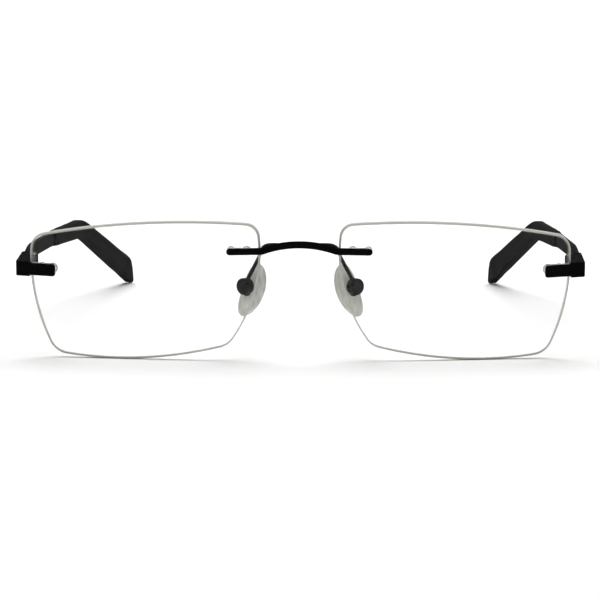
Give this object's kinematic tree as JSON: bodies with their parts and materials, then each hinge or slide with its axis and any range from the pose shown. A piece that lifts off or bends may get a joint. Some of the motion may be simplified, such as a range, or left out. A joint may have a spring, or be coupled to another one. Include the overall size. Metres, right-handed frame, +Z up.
{
  "type": "rimless eyeglasses",
  "caption": "Rimless eyeglasses with drilled clear lenses, a slim black metal bridge and end pieces, snap-in nose pads and folding temples with plastic ear sleeves.",
  "frame": {"origin": "on the table, at the centre of the footprint with the temples open", "axes": "+Z up; +X to the wearer's left; +Y back from the lenses along the temples to the ear sleeves, so the wearer looks along -Y"},
  "size_m": [0.135, 0.1512, 0.0334],
  "materials": {
    "lens_clear": "clear, polished faces with a ground edge",
    "black_metal": "semi-gloss black lacquer",
    "dark_grey_metal": "satin dark grey lacquer",
    "dark_steel": "dark plated steel",
    "steel": "turned steel",
    "dark_wire": "satin dark grey plating",
    "charcoal_plastic": "matte, fine grain",
    "clear_plastic": "clear moulded plastic",
    "pad_core_plastic": "clear hard plastic",
    "silicone": "translucent soft silicone"
  },
  "bodies": {
    "front": {"lens_left": "lens_clear", "lens_right": "lens_clear", "bridge": "black_metal", "end_piece_left": "black_metal", "end_piece_right": "black_metal", "hinge_front_left": "dark_steel", "hinge_front_right": "dark_steel", "hinge_screw_left": "steel", "hinge_screw_right": "steel", "pad_arm_left": "dark_wire", "pad_arm_right": "dark_wire", "pad_box_left": "dark_wire", "pad_box_right": "dark_wire", "pad_pin_left": "steel", "pad_pin_right": "steel", "bridge_plug_left": "clear_plastic", "bridge_plug_right": "clear_plastic", "end_piece_plug_left": "clear_plastic", "end_piece_plug_right": "clear_plastic", "bridge_stud_inner_left": "steel", "bridge_stud_inner_right": "steel", "bridge_stud_outer_left": "steel", "bridge_stud_outer_right": "steel", "end_piece_stud_inner_left": "steel", "end_piece_stud_inner_right": "steel", "end_piece_stud_outer_left": "steel", "end_piece_stud_outer_right": "steel"},
    "temple_left": {"hinge_temple_left": "dark_steel", "temple_bar_left": "dark_grey_metal", "temple_tip_left": "charcoal_plastic"},
    "temple_right": {"hinge_temple_right": "dark_steel", "temple_bar_right": "dark_grey_metal", "temple_tip_right": "charcoal_plastic"},
    "nose_pad_left": {"pad_insert_left": "pad_core_plastic", "nose_pad_left": "silicone"},
    "nose_pad_right": {"pad_insert_right": "pad_core_plastic", "nose_pad_right": "silicone"}
  },
  "joints": [
    {"name": "temple_left_fold", "type": "hinge", "parent": "front", "child": "temple_left", "pos_m": [0.0645, -0.055, 0.02165], "axis": [0, 0, 1], "range_deg": [0, 86]},
    {"name": "temple_right_fold", "type": "hinge", "parent": "front", "child": "temple_right", "pos_m": [-0.0645, -0.055, 0.02165], "axis": [0, 0, -1], "range_deg": [0, 77]},
    {"name": "pad_left_rock", "type": "hinge", "parent": "front", "child": "nose_pad_left", "pos_m": [0.0132, -0.0648, 0.017], "axis": [-0.8192, -0.5736, 0], "range_deg": [-8, 8]},
    {"name": "pad_right_rock", "type": "hinge", "parent": "front", "child": "nose_pad_right", "pos_m": [-0.0132, -0.0648, 0.017], "axis": [-0.8192, 0.5736, 0], "range_deg": [-8, 8]}
  ]
}
